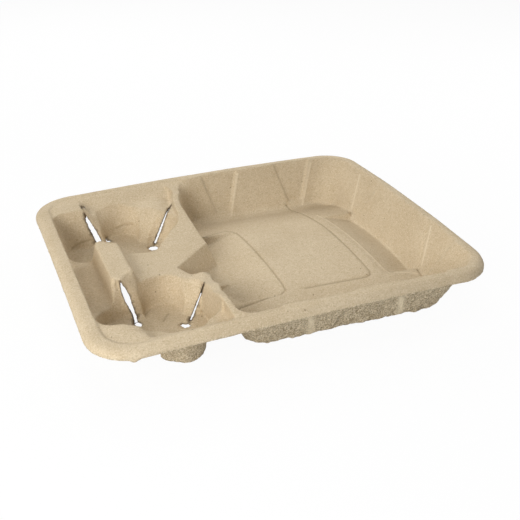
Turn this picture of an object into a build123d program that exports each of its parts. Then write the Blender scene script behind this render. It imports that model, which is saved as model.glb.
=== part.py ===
from build123d import *
import math
import os

# Two-cup carry tray with a food well, moulded from paper pulp as one thin shell.
# +X runs from the cup end to the food end, +Y to the back, +Z up.
# The origin is on the table under the middle of the rim.

# Rim: it rises a little to the food end and falls from its middle line to the front and back
LENGTH = 310.0
WIDTH = 262.0
RIM_HEIGHT = 43.2
RIM_RISE = 1.4
RIM_FALL = 1.7
CORNER_RADIUS = 33.0
WALL = 2.2
LIP_HEIGHT = 6.7
LIP_ROUND = 6.0
LIP_INNER_GAP = 4.5

# Food well, its plan given at the height of the saddle between the cups
SADDLE_HEIGHT = 24.5
WELL_HALF_WIDTH = 113.0
WELL_RIGHT_X = 136.0
WELL_DRAFT = 22.0
WELL_CORNER = 22.0
WELL_FLOOR_ROUND = 5.0
DIVIDER_BACK_X = -29.2
DIVIDER_FRONT_X = -44.9
DIVIDER_CORNER = 13.0
BAY_RIGHT_X = 20.0
BAY_BACK_Y = -14.0

# Crowned floor of the well, arched from front to back, with a sloping foot at each end
CROWN_HEIGHT = 13.0
CROWN_RADIUS = 430.0
FOOT_HALF_WIDTH = 48.0
FOOT_DRAFT = 35.0
FOOT_SLOPE = 13.0
RIGHT_FOOT_X = 97.3
LEFT_FOOT_X = 12.8

# Notch between the two lobes of the divider, its plan given at the height of the saddle
NOTCH_POINTS = [(-64.0, -14.0), (-58.0, -29.5), (-10.0, -43.0), (-10.0, 33.6)]
NOTCH_FLOOR = 5.0
NOTCH_DRAFT = 25.0

# Stiffening flutes in the walls of the well, wide at the rim and narrow at the floor
FLUTE_DEPTH = 1.6
FLUTE_BACK = 1.0
FLUTE_FLOOR_WIDTH = 14.0
FLUTE_RIM_WIDTH = 48.0
FLUTE_MIDDLE_X = 55.5
FLUTE_OFFSET_X = 37.5
FLUTE_MIDDLE_Y = -4.0
FLUTE_OFFSET_Y = 60.0
FLUTE_START = 4.0

# Cup deck: a little lower than the rim, it falls to the saddle between the cups
DECK_DROP = 1.6
DECK_LENGTH_INSET = 13.0
DECK_WIDTH_INSET = 10.0
DECK_END_X = -20.0
DECK_EDGE_SLOPE = 45.0
SADDLE_HALF_WIDTH = 36.0
LAND_SLOPE = 12.9
LAND_START_X = -128.0

# Cup cells: a funnel with four lobes round it and a sloping shoulder under the rim
BACK_CELL = (-84.0, 64.0)
FRONT_CELL = (-84.0, -65.0)
BACK_CELL_FLAT_X = -38.5
FRONT_CELL_FLAT_X = -55.0
FUNNEL_RADIUS = 23.0
FUNNEL_SLOPE = 32.0
LOBE_RADIUS = 14.5
LOBE_SLOPE = 13.0
LOBE_DISTANCE = 24.0
LOBE_COUNT = 4
SHOULDER_FLOOR = 27.4
SHOULDER_REACH = 42.0
SHOULDER_START_X = -108.0
SHOULDER_LEAN = 56.0
SHOULDER_END_LEAN = 40.0

# Corner pockets beside the cells, their walls placed at the height of the ridge
POCKET_OUTER_X = -142.8
POCKET_OUTER_LEAN = 12.0
POCKET_INNER_X = -90.0
POCKET_INNER_LEAN = 17.0
POCKET_NEAR_Y = 33.0
POCKET_NEAR_LEAN = 12.0
POCKET_FAR_Y = 94.0
POCKET_FAR_LEAN = 17.0
POCKET_FLOOR = 3.5
POCKET_NEAR_CORNER = 20.0
POCKET_FAR_CORNER = 14.0

# Trough along the cup end and the ridge beside it
TROUGH_FLOOR = 14.3
TROUGH_HALF_LENGTH = 52.0
TROUGH_LEAN = 10.0
TROUGH_ROUND = 4.0
RIDGE_HEIGHT = 34.2
RIDGE_LEFT_TOP = -118.0
RIDGE_RIGHT_TOP = -102.0
RIDGE_RIGHT_LEAN = 28.0
RIDGE_HALF_LENGTH = 52.0

# Slits that let the cell walls give, each ending in a small hole in the floor
BACK_SLITS = (25.0, 127.0, 225.0, 315.0)
FRONT_SLITS = (28.0, 134.0, 225.0, 315.0)
WIDE_SLITS = (127.0, 134.0)
WIDE_SLIT = 3.0
THIN_SLIT = 1.8
SLIT_INNER_REACH = 5.0
SLIT_OUTER_REACH = 8.0
SLIT_TOP = 34.5
SLIT_HOLE = 4.0

# How far cuts run past what they cut, and a height above everything
OVER = 5.0
SKY = RIM_HEIGHT + math.tan(math.radians(RIM_RISE)) * LENGTH / 2 + OVER


def run(height, slope):
    """How far a wall with this slope from the upright moves sideways over a height."""
    return height * math.tan(math.radians(slope))


def bowed(level_part):
    """A part that was made level, folded along its middle line and leaned as the rim is."""
    pivot = Pos(0, 0, RIM_HEIGHT - LIP_HEIGHT)
    halves = []
    for side, align in ((1, Align.MIN), (-1, Align.MAX)):
        half_space = Box(2 * LENGTH, WIDTH, 8 * SKY, align=(Align.CENTER, align, Align.CENTER))
        leaned = pivot * Rot(Y=-RIM_RISE) * Rot(X=-side * RIM_FALL) * pivot.inverse() * level_part
        halves.append(leaned & half_space)
    with BuildPart() as folded:
        add(halves)
    return folded.part


def block(grow):
    """The closed form under the rim, with its rounded outer edge."""
    bottom = -OVER - 2 * grow
    with BuildPart() as body:
        with BuildSketch(Plane.XY.offset(bottom)):
            RectangleRounded(LENGTH - 2 * grow, WIDTH - 2 * grow, CORNER_RADIUS - grow)
        extrude(amount=RIM_HEIGHT - grow - bottom)
        fillet(body.faces().sort_by(Axis.Z)[-1].edges(), LIP_ROUND - grow)
    return bowed(body.part)


def hopper(level, floor, x_walls, y_walls, grow):
    """A space with a flat floor and four flat walls, each told by its place at one level and its lean."""
    top = SKY
    bottom = floor - grow
    with BuildPart() as void:
        for plane, walls, mode in ((Plane.XZ, x_walls, Mode.ADD), (Plane.YZ, y_walls, Mode.INTERSECT)):
            (low, low_lean), (high, high_lean) = walls
            with BuildSketch(plane):
                with BuildLine():
                    Polyline(
                        (low - grow - run(top - level, low_lean), top),
                        (low - grow - run(bottom - level, low_lean), bottom),
                        (high + grow + run(bottom - level, high_lean), bottom),
                        (high + grow + run(top - level, high_lean), top),
                        close=True,
                    )
                make_face()
            extrude(amount=2 * LENGTH, both=True, mode=mode)
    return void.part


def tall_edges(part):
    """The edges that climb from the floor of a space to its top."""
    return part.edges().filter_by(lambda edge: edge.bounding_box().size.Z > SKY / 2)


def floor_edges(part):
    """The edges round the floor of a space."""
    return part.faces().sort_by(Axis.Z)[0].edges()


def foot(start_x, direction, grow):
    """The space that sinks one end of the crowned floor into a sloping foot."""
    lean = math.radians(FOOT_SLOPE)
    tilt = Plane(
        origin=(start_x, 0, CROWN_HEIGHT - CROWN_RADIUS / math.cos(lean)),
        x_dir=(0, 1, 0),
        z_dir=(direction * math.cos(lean), 0, -math.sin(lean)),
    )
    with BuildPart() as void:
        with BuildSketch(Plane.XY.offset(-OVER)):
            with Locations((start_x + direction * FOOT_HALF_WIDTH / 2, 0)):
                Rectangle(FOOT_HALF_WIDTH, 2 * FOOT_HALF_WIDTH)
            offset(amount=grow, kind=Kind.INTERSECTION)
        extrude(amount=3 * OVER + CROWN_HEIGHT, taper=-FOOT_DRAFT)
        with BuildSketch(tilt):
            Circle(CROWN_RADIUS - grow)
        extrude(amount=3 * FOOT_HALF_WIDTH, both=True, mode=Mode.SUBTRACT)
    return void.part


def crown(grow):
    """The arched floor of the well, standing on its flat margin, with both feet sunk in it."""
    feet = [foot(RIGHT_FOOT_X, 1, grow), foot(LEFT_FOOT_X, -1, grow)]
    with BuildPart() as arch:
        with BuildSketch(Plane.YZ.offset(-LENGTH / 2)):
            with Locations((0, CROWN_HEIGHT - CROWN_RADIUS)):
                Circle(CROWN_RADIUS - grow)
            with Locations((0, WALL - grow - OVER)):
                Rectangle(WIDTH, CROWN_HEIGHT + OVER, align=(Align.CENTER, Align.MIN), mode=Mode.INTERSECT)
        extrude(amount=LENGTH)
        add(feet, mode=Mode.SUBTRACT)
    return arch.part


def flute(outward, reach, middle, grow):
    """A shallow wedge pressed outward into one wall of the well."""
    lean = math.radians(WELL_DRAFT)
    face = Plane(
        origin=(
            outward[0] * reach + abs(outward[1]) * middle,
            outward[1] * reach + abs(outward[0]) * middle,
            WALL,
        ),
        x_dir=(-outward[1], outward[0], 0),
        z_dir=(outward[0] * math.cos(lean), outward[1] * math.cos(lean), -math.sin(lean)),
    )
    top = SKY / math.cos(lean)
    with BuildPart() as wedge:
        with BuildSketch(face.offset(-FLUTE_BACK)):
            with BuildLine():
                Polyline(
                    (-FLUTE_FLOOR_WIDTH / 2, FLUTE_START),
                    (FLUTE_FLOOR_WIDTH / 2, FLUTE_START),
                    (FLUTE_RIM_WIDTH / 2, top),
                    (-FLUTE_RIM_WIDTH / 2, top),
                    close=True,
                )
            make_face()
            offset(amount=FLUTE_BACK + grow * math.sqrt(2), kind=Kind.INTERSECTION)
        extrude(amount=FLUTE_BACK + FLUTE_DEPTH + grow, taper=45)
    return wedge.part


def bay(left_x, right_x, back_y, grow):
    """One stretch of the food well, from its front wall to its own back wall."""
    x_walls = ((left_x, WELL_DRAFT), (right_x, WELL_DRAFT))
    y_walls = ((-WELL_HALF_WIDTH, WELL_DRAFT), (back_y, WELL_DRAFT))
    return hopper(SADDLE_HEIGHT, WALL, x_walls, y_walls, grow)


def food_well(grow):
    """The space of the food well, down to its crowned floor."""
    main_space = bay(DIVIDER_BACK_X, WELL_RIGHT_X, WELL_HALF_WIDTH, grow)
    front_space = bay(DIVIDER_FRONT_X, BAY_RIGHT_X, BAY_BACK_Y, grow)
    raised_floor = crown(grow)
    narrowing = run(SADDLE_HEIGHT - WALL, WELL_DRAFT)
    flutes = []
    for side in (-1, 1):
        middle_x = FLUTE_MIDDLE_X + side * FLUTE_OFFSET_X
        middle_y = FLUTE_MIDDLE_Y + side * FLUTE_OFFSET_Y
        flutes.append(flute((1, 0), WELL_RIGHT_X - narrowing, middle_y, grow))
        flutes.append(flute((0, 1), WELL_HALF_WIDTH - narrowing, middle_x, grow))
        flutes.append(flute((0, -1), WELL_HALF_WIDTH - narrowing, middle_x, grow))
    with BuildPart() as main_bay:
        add(main_space)
        fillet(tall_edges(main_bay).sort_by(Axis.X)[2:], WELL_CORNER + grow)
        fillet(tall_edges(main_bay).sort_by(Axis.X)[:2], DIVIDER_CORNER + grow)
        fillet(floor_edges(main_bay), WELL_FLOOR_ROUND + grow)
    with BuildPart() as front_bay:
        add(front_space)
        fillet(tall_edges(front_bay).sort_by(Axis.X)[:2].sort_by(Axis.Y)[0], DIVIDER_CORNER + grow)
        fillet(floor_edges(front_bay).sort_by(Axis.Y)[:-1].sort_by(Axis.X)[:-1], WELL_FLOOR_ROUND + grow)
    with BuildPart() as void:
        add(main_bay.part)
        add(front_bay.part)
        add(raised_floor, mode=Mode.SUBTRACT)
        add(flutes)
    return void.part


def notch(grow):
    """The space between the lobes of the divider, narrowing to its own small floor."""
    with BuildPart() as void:
        with BuildSketch(Plane.XY.offset(NOTCH_FLOOR - grow)):
            with BuildLine():
                Polyline(*NOTCH_POINTS, close=True)
            make_face()
            narrowing = run(SADDLE_HEIGHT - NOTCH_FLOOR + grow, NOTCH_DRAFT)
            offset(amount=grow - narrowing, kind=Kind.INTERSECTION)
        extrude(amount=SKY - NOTCH_FLOOR + grow, taper=-NOTCH_DRAFT)
    return void.part


def deck(grow):
    """The space above the cup deck and above the land that falls to the saddle."""
    land_reach = SADDLE_HALF_WIDTH + (SKY - SADDLE_HEIGHT) / math.tan(math.radians(LAND_SLOPE))
    with BuildPart() as sunk:
        with BuildSketch(Plane.XY.offset(RIM_HEIGHT - DECK_DROP - grow)):
            RectangleRounded(
                LENGTH - 2 * DECK_LENGTH_INSET + 2 * grow,
                WIDTH - 2 * DECK_WIDTH_INSET + 2 * grow,
                CORNER_RADIUS - DECK_WIDTH_INSET + grow,
            )
        extrude(amount=OVER, taper=-DECK_EDGE_SLOPE)
        with BuildSketch(Plane.XY):
            with Locations((DECK_END_X, 0)):
                Rectangle(LENGTH, 2 * WIDTH, align=(Align.MIN, Align.CENTER))
        extrude(amount=SKY, mode=Mode.SUBTRACT)
    floor = bowed(sunk.part)
    with BuildPart() as void:
        add(floor)
        with BuildSketch(Plane.YZ.offset(LAND_START_X)):
            with BuildLine():
                Polyline(
                    (-land_reach, SKY - grow),
                    (-SADDLE_HALF_WIDTH, SADDLE_HEIGHT - grow),
                    (SADDLE_HALF_WIDTH, SADDLE_HEIGHT - grow),
                    (land_reach, SKY - grow),
                    close=True,
                )
            make_face()
        extrude(amount=DECK_END_X - LAND_START_X)
    return void.part


def ridge(grow):
    """The raised bar between the trough and the saddle."""
    top = RIDGE_HEIGHT - grow
    bottom = SADDLE_HEIGHT - grow - OVER
    with BuildPart() as bar:
        with BuildSketch(Plane.XZ.offset(-RIDGE_HALF_LENGTH)):
            with BuildLine():
                Polyline(
                    (LAND_START_X - grow, bottom),
                    (LAND_START_X - grow, top),
                    (RIDGE_RIGHT_TOP - grow, top),
                    (RIDGE_RIGHT_TOP - grow + run(top - bottom, RIDGE_RIGHT_LEAN), bottom),
                    close=True,
                )
            make_face()
        extrude(amount=2 * RIDGE_HALF_LENGTH)
    return bar.part


def trough(grow):
    """The space of the trough along the cup end."""
    x_walls = ((POCKET_OUTER_X, POCKET_OUTER_LEAN), (RIDGE_LEFT_TOP, TROUGH_LEAN))
    y_walls = ((grow - TROUGH_HALF_LENGTH, 0), (TROUGH_HALF_LENGTH - grow, 0))
    space = hopper(RIDGE_HEIGHT, TROUGH_FLOOR, x_walls, y_walls, grow)
    with BuildPart() as void:
        add(space)
        fillet(floor_edges(void).filter_by(Axis.Y), TROUGH_ROUND + grow)
    return void.part


def pocket(side, grow):
    """The deep space in one corner of the cup end, open to the cell beside it."""
    x_walls = ((POCKET_OUTER_X, POCKET_OUTER_LEAN), (POCKET_INNER_X, POCKET_INNER_LEAN))
    y_walls = ((POCKET_NEAR_Y, POCKET_NEAR_LEAN), (POCKET_FAR_Y, POCKET_FAR_LEAN))
    space = hopper(RIDGE_HEIGHT, POCKET_FLOOR, x_walls, y_walls, grow)
    with BuildPart() as void:
        add(space)
        fillet(tall_edges(void).sort_by(Axis.X)[:2].sort_by(Axis.Y)[0], POCKET_NEAR_CORNER + grow)
        fillet(tall_edges(void).group_by(Axis.X)[0].sort_by(Axis.Y)[-1], POCKET_FAR_CORNER + grow)
    return void.part if side > 0 else mirror(void.part, about=Plane.XZ)


def cell(flat_side, grow):
    """The space of one cup cell: funnel and lobes, flat on one side."""
    depth = SKY - WALL + grow
    with BuildPart() as void:
        with BuildSketch(Plane.XY.offset(WALL - grow)):
            Circle(FUNNEL_RADIUS + grow - run(grow, FUNNEL_SLOPE))
        extrude(amount=depth, taper=-FUNNEL_SLOPE)
        with BuildSketch(Plane.XY.offset(WALL - grow)):
            with PolarLocations(LOBE_DISTANCE, LOBE_COUNT):
                Circle(LOBE_RADIUS + grow - run(grow, LOBE_SLOPE))
        extrude(amount=depth, taper=-LOBE_SLOPE)
        with BuildSketch(Plane.XY.offset(WALL - grow)):
            with Locations((flat_side + grow, 0)):
                Rectangle(LENGTH, WIDTH, align=(Align.MIN, Align.CENTER))
        extrude(amount=depth, mode=Mode.SUBTRACT)
    return void.part


def shoulder(middle, flat_x, grow):
    """The space above the slope that falls from the rim to one cell."""
    outward = math.copysign(1, middle[1])
    x_walls = ((SHOULDER_START_X, SHOULDER_END_LEAN), (flat_x, 0))
    y_walls = sorted([(middle[1], 0), (middle[1] + outward * SHOULDER_REACH, SHOULDER_LEAN)])
    return hopper(SHOULDER_FLOOR, SHOULDER_FLOOR, x_walls, y_walls, grow)


def form(grow):
    """Everything under the upper face, or under a copy of that face sunk by the wall."""
    body = block(grow)
    deck_space = deck(grow)
    bar = ridge(grow)
    spaces = [food_well(grow), notch(grow), trough(grow), pocket(-1, grow), pocket(1, grow)]
    for middle, flat_x in ((BACK_CELL, BACK_CELL_FLAT_X), (FRONT_CELL, FRONT_CELL_FLAT_X)):
        spaces.append(Pos(*middle) * cell(flat_x - middle[0], grow))
        spaces.append(shoulder(middle, flat_x, grow))
    with BuildPart() as solid:
        add(body)
        add(deck_space, mode=Mode.SUBTRACT)
        add(bar)
        add(spaces, mode=Mode.SUBTRACT)
    return solid.part


def slit(middle, degrees, width):
    """The cut of one slit, following the cell wall from near the mouth to its hole in the floor."""
    x, y = middle
    along = (math.cos(math.radians(degrees)), math.sin(math.radians(degrees)), 0)
    plane = Plane(origin=(x, y, 0), x_dir=along, z_dir=(along[1], -along[0], 0))
    top_reach = FUNNEL_RADIUS + run(SLIT_TOP - WALL, FUNNEL_SLOPE)
    with BuildPart() as cut:
        with BuildSketch(plane):
            with BuildLine():
                Polyline(
                    (FUNNEL_RADIUS - SLIT_INNER_REACH, -OVER),
                    (FUNNEL_RADIUS + SLIT_OUTER_REACH, -OVER),
                    (top_reach + SLIT_OUTER_REACH, SLIT_TOP),
                    (top_reach - SLIT_INNER_REACH, SLIT_TOP),
                    close=True,
                )
            make_face()
        extrude(amount=width / 2, both=True)
        with BuildSketch(Plane.XY):
            with Locations((x + FUNNEL_RADIUS * along[0], y + FUNNEL_RADIUS * along[1])):
                Circle(SLIT_HOLE)
        extrude(amount=OVER, both=True)
    return cut.part


def skirt_trim():
    """What is cut away round the outside, below the edge of the lip."""
    with BuildPart() as frame:
        with BuildSketch(Plane.XY.offset(RIM_HEIGHT - LIP_HEIGHT)):
            Rectangle(LENGTH + 2 * OVER, WIDTH + 2 * OVER)
            RectangleRounded(
                LENGTH - 2 * LIP_INNER_GAP,
                WIDTH - 2 * LIP_INNER_GAP,
                CORNER_RADIUS - LIP_INNER_GAP,
                mode=Mode.SUBTRACT,
            )
        extrude(amount=-2 * SKY)
    return bowed(frame.part)


upper_form = form(0.0)
lower_form = form(WALL)
trim = skirt_trim()
slits = []
for middle, angles in ((BACK_CELL, BACK_SLITS), (FRONT_CELL, FRONT_SLITS)):
    for degrees in angles:
        slits.append(slit(middle, degrees, WIDE_SLIT if degrees in WIDE_SLITS else THIN_SLIT))

with BuildPart() as carrier_tray:
    add(upper_form)
    add(lower_form, mode=Mode.SUBTRACT)
    add(trim, mode=Mode.SUBTRACT)
    add(slits, mode=Mode.SUBTRACT)

carrier_tray.part.label = "carrier_tray"
os.makedirs("parts", exist_ok=True)
export_step(carrier_tray.part, "parts/carrier_tray.step")
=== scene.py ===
import math

import bmesh
import bpy
import numpy as np
from mathutils import Matrix, Vector, noise


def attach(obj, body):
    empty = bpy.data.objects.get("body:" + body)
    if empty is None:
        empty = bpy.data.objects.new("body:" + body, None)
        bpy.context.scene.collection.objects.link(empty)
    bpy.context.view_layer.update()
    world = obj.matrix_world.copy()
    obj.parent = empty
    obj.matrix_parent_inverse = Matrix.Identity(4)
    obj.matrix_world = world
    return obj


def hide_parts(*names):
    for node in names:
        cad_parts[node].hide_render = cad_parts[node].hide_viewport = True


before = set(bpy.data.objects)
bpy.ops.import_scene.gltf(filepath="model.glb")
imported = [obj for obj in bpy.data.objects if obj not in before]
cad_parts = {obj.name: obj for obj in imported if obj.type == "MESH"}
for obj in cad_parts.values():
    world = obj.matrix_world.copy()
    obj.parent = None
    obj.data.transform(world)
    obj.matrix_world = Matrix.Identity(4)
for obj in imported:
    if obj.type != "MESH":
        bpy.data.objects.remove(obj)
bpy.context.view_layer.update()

# Single sizes are in metres, by way of MM; lists of places are in plain millimetres and say so
MM = 0.001
HALF_LENGTH = 155 * MM
HALF_WIDTH = 131 * MM
EVEN_FACE = 0.8 * MM
TRIANGLES = 190000

# The rim of the CAD part is two flat halves; the real one is a smooth bow, highest near the food end
RIM_MIDDLE = 43.2 * MM
RIM_RISE = math.tan(math.radians(1.4))
RIM_FALL = math.tan(math.radians(1.7))
BOW_TOP = 46.2 * MM
BOW_TOP_X = 103 * MM
BOW_LENGTHWISE = 4215 * MM
BOW_CROSSWISE = 2067 * MM

# The cells' middles, and the CAD part's straight slits: turn in degrees, width, and the height above
# which they are closed; the two on the near side of each cell stay, with pointed upper ends
CELLS = {"back": (-84 * MM, 64 * MM), "front": (-84 * MM, -65 * MM)}
PLAIN_SLITS = (
    ("back", 25, 1.8 * MM, 0), ("back", 127, 3 * MM, 0), ("back", 225, 1.8 * MM, 16 * MM),
    ("back", 315, 1.8 * MM, 16 * MM), ("front", 28, 1.8 * MM, 0), ("front", 134, 3 * MM, 0),
    ("front", 225, 1.8 * MM, 16 * MM), ("front", 315, 1.8 * MM, 16 * MM),
)
# The round holes at the feet of three of them are closed too, and torn ones cut beside them
PLAIN_HOLES = (("back", 25), ("front", 28), ("front", 134))
PLAIN_HOLE = 5 * MM
PLAIN_HOLE_REACH = 23 * MM
WALL = 2.2 * MM
# A slit's faces lie within a hair of its sides, between these distances from the cell's middle, and
# are moved a little past each other, so that the wall closes
HAIR = 0.02 * MM
SLIT_START = 12 * MM
SLIT_END = 60 * MM
PAST_EACH_OTHER = 1.25

# Most places below were read off the photo along the camera's lines of sight onto the tray, and then
# rounded; the rest were chosen one by one

# The torn slits that are shown instead: upper end, lower end, and widths on the way down, in mm
SIGHT = Vector((0.34, 0.81, -0.47)).normalized()
TEARS = {
    "back outer": ((-112, 108, 32), (-106, 84.5, 8), (0.6, 1.2, 2.9, 3.9, 4.3, 4.6)),
    "back inner": ((-39, 86.5, 30.5), (-57.5, 77, 1.5), (0.6, 1.0, 1.5, 1.8, 1.8, 2.0)),
    "front outer": ((-113, -32.5, 31), (-105, -41.5, 0), (0.9, 3.8, 4.6, 3.0, 2.6, 2.8)),
    "front inner": ((-55, -52.5, 28.5), (-66.5, -54, 0.5), (0.6, 0.8, 0.9, 1.1, 1.3, 1.5)),
}
# Ragged holes at the slits' lower ends: middle and half width, in mm
HOLES = {
    "back inner": ((-61.3, 67.7), 5.3),
    "front inner": ((-73, -61.5), 4.2),
    "front outer": ((-105.6, -48.6), 3.4),
    "back outer": ((-95.5, 95.6), 3.2),
}
# How uneven the torn edges are, the slits' in mm
RAGGED = 0.45
HOLE_RAGGED = 1.6 * MM
HOLE_LOW, HOLE_HIGH = -3 * MM, 5 * MM
TEAR_STEP = 0.8 * MM
TEAR_HALF_DEPTH = 10 * MM
THINNEST_TEAR = 0.1
# What sets the raggedness of a slit's two sides, of the slits, and of its steps apart
SIDE_SHIFT, SLIT_SHIFT, STEP_SHIFT = 9.0, 900, 0.45
# How far painted shade reaches from a torn edge, standing in for the shade inside the slit's cut wall,
# and how far off the slit's line it is looked for
SLIT_SHADE_REACH = 0.8 * MM
SLIT_SHADE_SEARCH = 12 * MM
SLIT_SHADE_ENDS = (-0.04, 1.03)

# Fine folds in the cells and the back pocket, in mm; they are sunk and darkened with painted shade
FOLDS = (
    ((-100, 90, 9.5), (-94, 98.5, 9), (-85, 104, 8.6), (-78, 103.5, 10.5), (-71, 99, 12.2)),
    ((-130, 84, 5.5), (-122, 86, 8.5), (-114, 87, 9.4), (-107, 86.5, 10)),
    ((-101, -42.5, 3), (-96, -36, 2.4), (-91, -30.5, 2.8), (-89, -28, 6)),
    ((-87, -51, 2.3), (-83, -45, 2.3), (-80, -42, 2.3)),
    ((-113.5, -31, 33), (-109, -29.5, 33.6), (-104.5, -27, 33.8), (-101.5, -23, 34)),
)

# Places that the mould left softer or elsewhere than the plain forms: middle, reach and shift, in mm
PUSHES = (
    ((-70, 25, 25), 13, (1.5, -4.5, 0)),
    ((-27, 107, 40), 18, (9, -8, -1)),
    ((-97, 104, 29), 8, (-4, 2, 0)),
    ((-48, 100, 29), 12, (0, 4, 3)),
    ((-112, -97, 35), 10, (0, -4, -3)),
    ((-113, 50, 32), 9, (-3, 0, 0)),
    ((-128, -129, 31), 2.5, (0, 0, -2.2)),
    ((-50, -35, 26), 5, (0, -1, 3)),
    ((-50, -64, 32), 6, (1, 0, 1.5)),
    ((-52, -74, 35), 3.5, (-1.5, 0, -1.5)),
    ((-103, -25, 35), 4, (0.5, -0.5, 1.2)),
)
# Wide pushes fade out towards the front and back rims; the smallest one, on the rim, doesn't
SMALLEST_REACH = 3
RIM_FADE = (6 * MM, 18 * MM)
SOFT_PLACES = (
    ((-112, -106, 33), 18), ((-110, 106, 33), 15),
    ((-60, 100, 30), 9), ((-97, -30, 30), 7),
)
SOFT_ROUNDS = 60

# Lumps of pulp where the wall between the front pocket and its cell is thinnest: middle and radius, in mm
LUMPS = (
    ((-113.2, -36.9, 10), 1.5),
    ((-112.9, -36.6, 12.3), 1.5),
    ((-112.7, -36.3, 14.6), 1.4),
    ((-111.3, -37.4, 10.2), 1.4),
)

# Lines that the mould left in the well floor, seen from above, in mm; they are sunk and darkened with
# painted shade
PRINTS = (
    ((71, 120), (84, 103), (88, 76), (89.5, 40), (89, -50), (87, -55), (82, -57), (28, -56)),
    ((-19, 57.5), (0, 62.7), (5, 63), (9, 60.5), (12, 54),
     (12.8, -46), (12, -53), (7, -56.2), (-36, -65.5)),
)
# Creases that stand up: round the sloping panel at the food end, and down the walls beside the flutes;
# the material paints them lighter as a painted highlight
CREASES = (
    ((97, 66), (99.6, 49), (101.7, 0), (102.3, -51), (105, -56), (125, -65)),
    ((114.6, 119), (99, 102.5)),
    ((38.5, 119.5), (25, 103.5)),
    ((144, 72.7), (131.9, 62.2)),
    ((145.9, -48.3), (132.9, -59.7)),
)
# Smoother ribs on the outside of the front wall, painted lighter as a painted highlight, in mm
RIBS = (
    ((4, -116, 32), (6.5, -111.3, 12), (9, -106, 0)),
    ((76, -116, 32), (79.5, -113.5, 20), (85, -106, 0)),
)
# Widths of those marks in mm, and how far they sink or stand up in mm
PRINT_WIDTH, FOLD_WIDTH, CREASE_WIDTH, RIB_WIDTH = 0.75, 0.8, 0.65, 2.2
LINE_DEPTH, CREASE_HEIGHT, RIB_HEIGHT = 0.7, 0.4, 0.6
FOLD_SHARE = 0.7
RIB_SMOOTHS = 0.7
WELL_START = -45 * MM
# Which parts take which marks: how far a face turns down or up, and the share of the rim's height
TURNS_DOWN = (0.06, 0.3)
FLOOR_UP, CREASE_UP = 0.5, 0.2
LOW_PART, CREASE_TOP = 0.6, 0.92

# The pulp's unevenness: size of its bumps in mm, depth of detail, and a shift that tells them apart
ROUGH = (3.2, 3, 4.0)
COARSE = (9, 2, 9.0)
FINE = (2.4, 2, 1.0)
WAVES = (45, 1, 2.0)
UNDER_ROUGH = 0.45
UNDER_COARSE, FOOT_COARSE = 0.6, 0.9
FOOT_HEIGHT, FOOT_FADE = 16 * MM, 12 * MM
TOP_FINE, TOP_COARSE = 0.07, 0.06
WAVE_HEIGHT = 0.3
LIP_FADE = (4 * MM, 6.5 * MM)
LIP_MARGIN = 9 * MM
LIP_RAGGED = 0.9


# The moulded shell

def points_of(mesh):
    """Where the mesh's points are, one row each."""
    points = np.zeros(len(mesh.vertices) * 3)
    mesh.vertices.foreach_get("co", points)
    return points.reshape(-1, 3)


def directions_of(mesh):
    """Which way the surface faces at each point."""
    normals = np.zeros(len(mesh.vertices) * 3)
    mesh.vertices.foreach_get("normal", normals)
    return normals.reshape(-1, 3)


def applied(shape):
    """The mesh of a shape with its modifiers worked in; the shape itself goes."""
    bpy.context.view_layer.update()
    shown = shape.evaluated_get(bpy.context.evaluated_depsgraph_get())
    mesh = bpy.data.meshes.new_from_object(shown)
    bpy.data.objects.remove(shape)
    return mesh


def linked(name, made):
    """A mesh, lamp or camera put into the scene."""
    shape = bpy.data.objects.new(name, made)
    bpy.context.scene.collection.objects.link(shape)
    return shape


def prism(outline, low, high):
    """A closed upright mesh over a plan outline."""
    count = len(outline)
    corners = [(x, y, low) for x, y in outline] + [(x, y, high) for x, y in outline]
    sides = [(k, (k + 1) % count, (k + 1) % count + count, k + count) for k in range(count)]
    ends = [tuple(reversed(range(count))), tuple(range(count, 2 * count))]
    mesh = bpy.data.meshes.new("prism")
    mesh.from_pydata(corners, [], sides + ends)
    return mesh


def round_outline(x, y, radius, ragged=0.0):
    """The plan outline of a hole, round or ragged."""
    sides = 24
    turns = [2 * math.pi * k / sides for k in range(sides)]
    spots = [Vector((3 * math.cos(t), 3 * math.sin(t), 50 * x)) for t in turns]
    reach = [radius + ragged * noise.noise(spot) for spot in spots]
    return [(x + r * math.cos(t), y + r * math.sin(t)) for t, r in zip(turns, reach)]


def without_plain_slits(node):
    """A copy of the CAD node whose straight slits are closed, ready for torn ones."""
    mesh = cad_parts[node].data.copy()
    mesh.materials.clear()
    points = points_of(mesh)
    whole = bmesh.new()
    for cell, degrees, width, closed_above in PLAIN_SLITS:
        x, y = CELLS[cell]
        turn = math.radians(degrees)
        out = (points[:, 0] - x) * math.cos(turn) + (points[:, 1] - y) * math.sin(turn)
        across = (points[:, 1] - y) * math.cos(turn) - (points[:, 0] - x) * math.sin(turn)
        on_slit = (abs(abs(across) - width / 2) < HAIR) & (out > SLIT_START) & (out < SLIT_END)
        shift = PAST_EACH_OTHER * across * (on_slit & (points[:, 2] > closed_above))
        points[:, 0] += shift * math.sin(turn)
        points[:, 1] -= shift * math.cos(turn)
        if (cell, degrees) in PLAIN_HOLES:
            middle = (x + PLAIN_HOLE_REACH * math.cos(turn), y + PLAIN_HOLE_REACH * math.sin(turn))
            whole.from_mesh(prism(round_outline(*middle, PLAIN_HOLE), 0, WALL))
    for middle, radius in LUMPS:
        place = Matrix.Translation(Vector(middle) * MM)
        bmesh.ops.create_icosphere(whole, subdivisions=2, radius=radius * MM, matrix=place)
    mesh.vertices.foreach_set("co", points.ravel())
    whole.from_mesh(mesh)
    whole.to_mesh(mesh)
    whole.free()
    return mesh


def evened(mesh, cell):
    """The same form in small even faces, with softened edges."""
    shape = linked("even", mesh)
    even = shape.modifiers.new("even mesh", "REMESH")
    even.mode = "VOXEL"
    even.voxel_size = cell
    soften = shape.modifiers.new("soft moulded edges", "SMOOTH")
    soften.factor = 0.5
    soften.iterations = 3
    return applied(shape)


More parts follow.
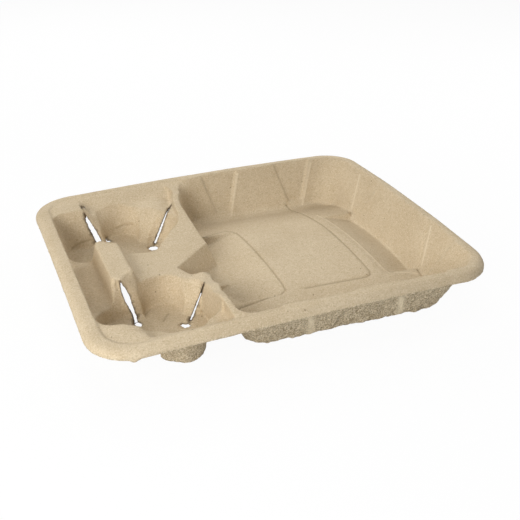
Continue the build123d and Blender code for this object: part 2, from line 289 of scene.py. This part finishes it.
def softened(mesh):
    """Rounds off the forms near the soft places."""
    points = points_of(mesh)
    near = np.zeros(len(points), bool)
    for middle, reach in SOFT_PLACES:
        near |= np.linalg.norm(points - np.array(middle) * MM, axis=1) < reach * MM
    shape = linked("soft", mesh)
    group = shape.vertex_groups.new(name="soft places")
    group.add(np.flatnonzero(near).tolist(), 1.0, "REPLACE")
    rounder = shape.modifiers.new("soft places", "SMOOTH")
    rounder.vertex_group = "soft places"
    rounder.factor = 0.5
    rounder.iterations = SOFT_ROUNDS
    return applied(shape)


def pushed(points):
    """Moves the forms a little where the real tray is uneven."""
    inside = HALF_WIDTH - abs(points[:, 1])
    for middle, reach, shift in PUSHES:
        away = np.linalg.norm(points - np.array(middle) * MM, axis=1) / (reach * MM)
        share = np.exp(-away ** 2)
        if reach > SMALLEST_REACH:
            share *= step(inside, *RIM_FADE)
        points = points + share[:, None] * np.array(shift) * MM
    return points


def ripples(places, size, depth, shift):
    """Smooth unevenness between about -1 and 1, with bumps of one size in mm; the same each run."""
    offset = Vector((shift, -shift, 2 * shift))
    return np.array([noise.fractal(place / (size * MM) + offset, 1.0, 2.0, depth) for place in places])


def step(value, low, high):
    """0 below low, 1 above high, and a smooth rise between them."""
    share = np.clip((value - low) / (high - low), 0, 1)
    return share * share * (3 - 2 * share)


def lines(points, paths, width):
    """1 on paths given in mm, in plan or in space, and 0 away from them."""
    nearest = np.full(len(points), 1.0)
    for path in paths:
        places = np.array(path) * MM
        points_in = points[:, :places.shape[1]]
        for start, end in zip(places, places[1:]):
            run = end - start
            share = np.clip((points_in - start) @ run / run.dot(run), 0, 1)
            away = np.linalg.norm(points_in - start - np.outer(share, run), axis=1)
            nearest = np.minimum(nearest, away)
    return np.exp(-(nearest / (width * MM)) ** 2)


def uneven_pulp(mesh):
    """Gives the even shell the bow, the waves, the mould's lines and the rough underside of pulp."""
    points = points_of(mesh)
    normals = directions_of(mesh)
    places = [Vector(place) for place in points.tolist()]
    under = step(-normals[:, 2], *TURNS_DOWN)
    x, y = points[:, 0], points[:, 1]
    flat_rim = RIM_MIDDLE + RIM_RISE * x - RIM_FALL * abs(y)
    bowed_rim = BOW_TOP - (x - BOW_TOP_X) ** 2 / (2 * BOW_LENGTHWISE) - y ** 2 / (2 * BOW_CROSSWISE)
    height = points[:, 2] / flat_rim
    rough, coarse, fine, waves = (ripples(places, *kind) for kind in (ROUGH, COARSE, FINE, WAVES))
    lumpy = UNDER_COARSE + FOOT_COARSE * step(FOOT_HEIGHT - points[:, 2], 0, FOOT_FADE)
    below = UNDER_ROUGH * rough + lumpy * coarse
    above = TOP_FINE * fine + TOP_COARSE * coarse
    lift = under * below + (1 - under) * above
    floor = (normals[:, 2] > FLOOR_UP) & (height < LOW_PART) & (x > WELL_START)
    line = lines(points, PRINTS, PRINT_WIDTH) * floor
    line = np.maximum(line, FOLD_SHARE * lines(points, FOLDS, FOLD_WIDTH) * (1 - under))
    crease = lines(points, CREASES, CREASE_WIDTH)
    crease *= (normals[:, 2] > CREASE_UP) & (height < CREASE_TOP)
    rib = lines(points, RIBS, RIB_WIDTH) * under
    lift = lift * (1 - RIB_SMOOTHS * rib) + RIB_HEIGHT * rib
    lift = lift - LINE_DEPTH * line + CREASE_HEIGHT * crease
    moved = pushed(points + normals * (lift * MM)[:, None])
    lip_edge = step(flat_rim - points[:, 2], *LIP_FADE) * (height > LOW_PART)
    lip_edge *= (abs(x) > HALF_LENGTH - LIP_MARGIN) | (abs(y) > HALF_WIDTH - LIP_MARGIN)
    moved[:, 2] += lip_edge * LIP_RAGGED * MM * (coarse + 0.5 * rough)
    moved[:, 2] += (WAVE_HEIGHT * MM * waves + bowed_rim - flat_rim) * np.clip(height, 0, 1)
    moved[:, 0] = np.clip(moved[:, 0], -HALF_LENGTH, HALF_LENGTH)
    moved[:, 1] = np.clip(moved[:, 1], -HALF_WIDTH, HALF_WIDTH)
    moved[:, 2] = np.maximum(moved[:, 2], 0)
    mesh.vertices.foreach_set("co", moved.ravel())
    marked(mesh, "underside", under)
    marked(mesh, "mould line shade", line)
    marked(mesh, "crease", crease)
    marked(mesh, "rib", rib)
    mesh.update()


def marked(mesh, name, values):
    """Stores one number at each point of the mesh for its material."""
    mesh.attributes.new(name, "FLOAT", "POINT").data.foreach_set("value", values)


def torn_edges(mesh):
    """1 at the sides of the torn slits, fading within a millimetre: where the painted shade of the slits
    goes.
    """
    points = points_of(mesh)
    sight = np.array(SIGHT)
    edge = np.zeros(len(points))
    for top, bottom, widths in TEARS.values():
        top, bottom = np.array(top) * MM, np.array(bottom) * MM
        down = (bottom - top) - sight * sight.dot(bottom - top)
        flat = (points - top) - np.outer((points - top) @ sight, sight)
        share = np.clip(flat @ down / down.dot(down), *SLIT_SHADE_ENDS)
        middle = top + np.outer(share, bottom - top)
        width = np.interp(share * (len(widths) - 1), range(len(widths)), widths) * MM / 2
        away = np.linalg.norm(flat - np.outer(share, down), axis=1) - width
        near = np.linalg.norm(points - middle, axis=1) < SLIT_SHADE_SEARCH
        edge = np.maximum(edge, near * (1 - step(away, 0, SLIT_SHADE_REACH)))
    return edge


def tear(name, top, bottom, widths):
    """A cutter for one slit: it runs down the wall between ragged sides."""
    top, bottom = Vector(top) * MM, Vector(bottom) * MM
    side = (bottom - top).cross(SIGHT).normalized()
    deep = SIGHT * TEAR_HALF_DEPTH
    steps = round((bottom - top).length / TEAR_STEP)
    corners, faces = [], []
    for k in range(steps + 1):
        share = k / steps
        width = float(np.interp(share * (len(widths) - 1), range(len(widths)), widths)) / 2
        spots = [Vector((SIDE_SHIFT * part + top.x * SLIT_SHIFT, k * STEP_SHIFT, 0)) for part in (1, 2)]
        uneven = [RAGGED * noise.noise(spot) for spot in spots]
        left, right = (max(THINNEST_TEAR, width + extra * min(1.0, width)) * MM for extra in uneven)
        middle = top.lerp(bottom, share)
        corners += [middle - side * left - deep, middle + side * right - deep,
                    middle + side * right + deep, middle - side * left + deep]
        if k:
            last, now = 4 * k - 4, 4 * k
            faces += [(last + j, last + (j + 1) % 4, now + (j + 1) % 4, now + j) for j in range(4)]
    faces += [(3, 2, 1, 0), tuple(4 * steps + j for j in range(4))]
    mesh = bpy.data.meshes.new(name)
    mesh.from_pydata(corners, [], faces)
    return linked(name, outward(mesh))


def outward(mesh):
    """Turns every face of a closed mesh outward."""
    work = bmesh.new()
    work.from_mesh(mesh)
    bmesh.ops.recalc_face_normals(work, faces=work.faces)
    work.to_mesh(mesh)
    work.free()
    return mesh


def torn(mesh):
    """Cuts the torn slits and the holes at their lower ends."""
    cutters = [tear(name, *facts) for name, facts in TEARS.items()]
    for name, ((x, y), half) in HOLES.items():
        outline = round_outline(x * MM, y * MM, half * MM, HOLE_RAGGED)
        cutters.append(linked(name + " hole", outward(prism(outline, HOLE_LOW, HOLE_HIGH))))
    shape = linked("torn", mesh)
    for cutter in cutters:
        cut = shape.modifiers.new(cutter.name, "BOOLEAN")
        cut.operation = "DIFFERENCE"
        cut.solver = "MANIFOLD"
        cut.object = cutter
    mesh = applied(shape)
    for cutter in cutters:
        bpy.data.objects.remove(cutter)
    return mesh


def with_fewer_faces(mesh, triangles):
    """The same mesh with no more than so many triangles, near enough."""
    mesh.calc_loop_triangles()
    shape = linked("fewer", mesh)
    fewer = shape.modifiers.new("fewer faces", "DECIMATE")
    fewer.ratio = min(1.0, triangles / len(mesh.loop_triangles))
    return applied(shape)


def carrier_tray():
    """The moulded tray, in place of the plain CAD solid."""
    mesh = softened(evened(without_plain_slits("carrier_tray"), EVEN_FACE))
    uneven_pulp(mesh)
    mesh = with_fewer_faces(torn(mesh), TRIANGLES)
    marked(mesh, "torn edge shade", torn_edges(mesh))
    mesh.materials.clear()
    for face in mesh.polygons:
        face.use_smooth = True
        face.material_index = 0
    tray = linked("pulp_tray", mesh)
    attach(tray, "root")
    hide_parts("carrier_tray")
    return tray


# Materials

class Wire:
    """A socket in a material; arithmetic on it adds the nodes for it."""

    def __init__(self, paint, socket):
        self.paint = paint
        self.socket = socket

    def math(self, operation, *values):
        return self.paint.node("Math", {"operation": operation}, dict(enumerate(values)))

    def __add__(self, other):
        return self.math("ADD", self, other)

    def __radd__(self, other):
        return self.math("ADD", other, self)

    def __mul__(self, other):
        return self.math("MULTIPLY", self, other)

    def __rmul__(self, other):
        return self.math("MULTIPLY", other, self)

    def above(self, low, high):
        """0 below low, 1 above high, with a smooth rise between them."""
        ends = {"Value": self, "From Min": low, "From Max": high, "To Min": 0.0, "To Max": 1.0}
        return self.paint.node("MapRange", {"interpolation_type": "SMOOTHSTEP"}, ends)


class Paint:
    """A material or the world, put together node by node."""

    def __init__(self, owner):
        owner.use_nodes = True
        self.tree = owner.node_tree
        self.tree.nodes.clear()

    def node(self, kind, settings=None, sockets=None, output=0):
        """Any node: its settings first, then the values or links of its sockets."""
        made = self.tree.nodes.new("ShaderNode" + kind)
        for name, value in (settings or {}).items():
            setattr(made, name, value)
        for name, value in (sockets or {}).items():
            if isinstance(value, Wire):
                self.tree.links.new(value.socket, made.inputs[name])
            else:
                made.inputs[name].default_value = value
        return Wire(self, made.outputs[output]) if made.outputs else None

    def mix(self, share, first, second):
        """The first colour where the share is 0, the second where it is 1."""
        return self.node("Mix", {"data_type": "RGBA"}, {0: share, 6: first, 7: second}, 2)

    def noise(self, place, scale, detail=2.0, rough=0.5):
        sockets = {"Vector": place, "Scale": scale, "Detail": detail, "Roughness": rough}
        return self.node("TexNoise", None, sockets)

    def bump(self, height, strength, distance, normal=None):
        sockets = {"Height": height, "Strength": strength, "Distance": distance}
        if normal:
            sockets["Normal"] = normal
        return self.node("Bump", None, sockets)

    def mark(self, name):
        """A number that the mesh stores at each point."""
        return self.node("Attribute", {"attribute_name": name}, None, "Fac")

    def surface(self, shader, kind="OutputMaterial"):
        self.node(kind, None, {"Surface": shader})


def colour(red, green, blue):
    """A colour written as it looks on a screen, from 0 to 255."""
    def linear(value):
        value /= 255
        return value / 12.92 if value < 0.04045 else ((value + 0.055) / 1.055) ** 2.4
    return (linear(red), linear(green), linear(blue), 1.0)


def fine_side(paint, place, mottle, grain, fibres):
    """The side that met the mould: pale and mottled, with fine grain, dark specks and light fibres."""
    clouds = paint.noise(place, 28.0, 3.0).above(0.3, 0.7)
    specks = paint.node("TexVoronoi", None, {"Vector": place, "Scale": 95.0})
    chance = paint.node("TexVoronoi", None, {"Vector": place, "Scale": 95.0}, 1)
    top = paint.mix(clouds, colour(199, 181, 151), colour(206, 189, 160))
    top = paint.mix(mottle.above(0.35, 0.7) * 0.35, top, colour(190, 169, 135))
    top = paint.mix(grain.above(0.53, 0.68) * 0.55, top, colour(160, 138, 105))
    top = paint.mix(grain.above(0.47, 0.33) * 0.5, top, colour(232, 217, 190))
    dark_specks = specks.above(0.075, 0.05) * chance.above(0.6, 0.62) * 0.7
    top = paint.mix(dark_specks, top, colour(104, 84, 58))
    return paint.mix(fibres.above(0.6, 0.72) * 0.35, top, colour(226, 209, 178))


def coarse_side(paint, coarse, mottle, grain):
    """The side away from the mould: light and dark clumps of pulp."""
    below = paint.mix(coarse.above(0.38, 0.62), colour(230, 214, 184), colour(168, 150, 119))
    below = paint.mix(mottle.above(0.4, 0.7) * 0.4, below, colour(192, 175, 144))
    below = paint.mix(grain.above(0.52, 0.62) * 0.55, below, colour(136, 119, 90))
    return paint.mix(grain.above(0.48, 0.38) * 0.6, below, colour(250, 239, 215))


def moulded_pulp():
    """Unbleached paper pulp, fine on the side that met the mould and coarse on the other."""
    material = bpy.data.materials.new("moulded pulp")
    paint = Paint(material)
    place = paint.node("TexCoord", None, None, "Object")
    along_fibres = {"Vector": place, "Scale": (1.0, 7.0, 1.0), "Rotation": (0.3, 0.2, 0.6)}
    fibres = paint.noise(paint.node("Mapping", None, along_fibres), 330.0, 2.0, 0.6)
    mottle = paint.noise(place, 260.0, 3.0, 0.6)
    grain = paint.noise(place, 950.0, 3.0, 0.7)
    coarse = paint.noise(place, 620.0, 4.0, 0.75)
    under = paint.mark("underside")
    top = fine_side(paint, place, mottle, grain, fibres)
    body = paint.mix(under, top, coarse_side(paint, coarse, mottle, grain))
    # Painted shade: the sunken mould lines and folds are darkened as if shade lay in them
    body = paint.mix(paint.mark("mould line shade") * 0.5, body, colour(128, 108, 78))
    # Painted highlight: the raised creases are made lighter, as if they caught the light
    body = paint.mix(paint.mark("crease") * 0.6, body, colour(236, 221, 193))
    # Painted highlight: the ribs on the outer front wall are made lighter, as if they caught the light
    body = paint.mix(paint.mark("rib") * 1.1, body, colour(236, 222, 193))
    # Painted shade: dark brown at the torn slits' edges, made ragged by the mottle, stands in for the
    # shade in the slits' cut walls
    painted_slit_shade = paint.mark("torn edge shade") * mottle.above(0.2, 0.5) * 0.9
    body = paint.mix(painted_slit_shade, body, colour(72, 54, 34))
    fine_bump = paint.bump(grain * 0.5 + mottle + fibres * 0.4, 0.35, 0.4 * MM)
    normal = paint.bump(coarse + mottle, under * 0.9, 1.0 * MM, fine_bump)
    paint.surface(paint.node("BsdfPrincipled", None, {
        "Base Color": body,
        "Roughness": 0.92,
        "Specular IOR Level": 0.25,
        "Normal": normal,
    }))
    return material


def white_table():
    """White to the camera, with a faint shadow left on it."""
    material = bpy.data.materials.new("white table")
    paint = Paint(material)
    paper = paint.node("BsdfDiffuse", None, {"Color": (0.9, 0.9, 0.9, 1.0)})
    glow = paint.node("Emission", None, {"Color": (1.0, 1.0, 1.0, 1.0), "Strength": 1.0})
    seen = paint.node("LightPath", None, None, "Is Camera Ray")
    paint.surface(paint.node("MixShader", None, {0: seen * 0.95, 1: paper, 2: glow}))
    return material


# Table, lamps and camera

# Each lamp's name, place in metres, power in watts and size in metres
LAMPS = (
    ("overhead", (0, 0, 1.2), 2.9, 0.9),
    ("left", (-0.9, -0.2, 0.5), 4.0, 0.5),
    ("front left", (-0.6, -0.8, 0.5), 7.0, 0.5),
    ("right", (0.9, 0.3, 0.6), 4.2, 0.5),
    ("back", (0, 1.0, 0.7), 5.4, 0.5),
)
LIT_POINT = Vector((0, 0, 0.02))
SKY_STRENGTH = 0.06
# The camera: lens and sensor in mm, angles in degrees, distance and the point it looks at in metres
LENS, SENSOR = 56.35, 36
EYE_TURN, EYE_HEIGHT, EYE_ROLL = -22.686, 28.318, -0.885
SEEN_POINT = Vector((-0.0021, -0.0344, 0.0299))
EYE_DISTANCE = 0.641


def table():
    """A wide flat floor just under the tray's feet."""
    reach, gap = 4.0, 0.3 * MM
    corners = [(-reach, -reach, 0), (reach, -reach, 0), (reach, reach, 0), (-reach, reach, 0)]
    top = bpy.data.meshes.new("table")
    top.from_pydata(corners, [], [(0, 1, 2, 3)])
    floor = linked("table", top)
    floor.location.z = -gap
    top.materials.append(white_table())


def sky(strength):
    """An even pale light from all round, white where the camera sees it."""
    world = bpy.data.worlds.new("studio")
    bpy.context.scene.world = world
    paint = Paint(world)
    light = paint.node("Background", None, {"Strength": strength})
    white = paint.node("Background", None, {"Color": (1.0, 1.0, 1.0, 1.0)})
    seen = paint.node("LightPath", None, None, "Is Camera Ray")
    paint.surface(paint.node("MixShader", None, {0: seen, 1: light, 2: white}), "OutputWorld")


def lamp(name, place, power, size):
    """A soft square lamp that points at the tray."""
    light = bpy.data.lights.new(name, "AREA")
    light.energy = power
    light.size = size
    shown = linked(name, light)
    shown.location = place
    shown.rotation_euler = (LIT_POINT - Vector(place)).to_track_quat("-Z", "Y").to_euler()


def camera():
    """The photograph's view, worked out from the rim's four sides."""
    eye = bpy.data.cameras.new("camera")
    eye.lens = LENS
    eye.sensor_width = SENSOR
    shown = linked("camera", eye)
    turn, height, roll = (math.radians(angle) for angle in (EYE_TURN, EYE_HEIGHT, EYE_ROLL))
    level_share = math.cos(height)
    ahead = Vector((-math.sin(turn) * level_share, math.cos(turn) * level_share, -math.sin(height)))
    level = Vector((math.cos(turn), math.sin(turn), 0))
    down = ahead.cross(level)
    right = math.cos(roll) * level + math.sin(roll) * down
    up = math.sin(roll) * level - math.cos(roll) * down
    place = SEEN_POINT - EYE_DISTANCE * ahead
    turned = Matrix((right, up, -ahead)).transposed()
    shown.matrix_world = Matrix.Translation(place) @ turned.to_4x4()
    bpy.context.scene.camera = shown


tray = carrier_tray()
tray.data.materials.append(moulded_pulp())
table()
sky(SKY_STRENGTH)
for facts in LAMPS:
    lamp(*facts)
camera()
bpy.context.scene.view_settings.view_transform = "Standard"
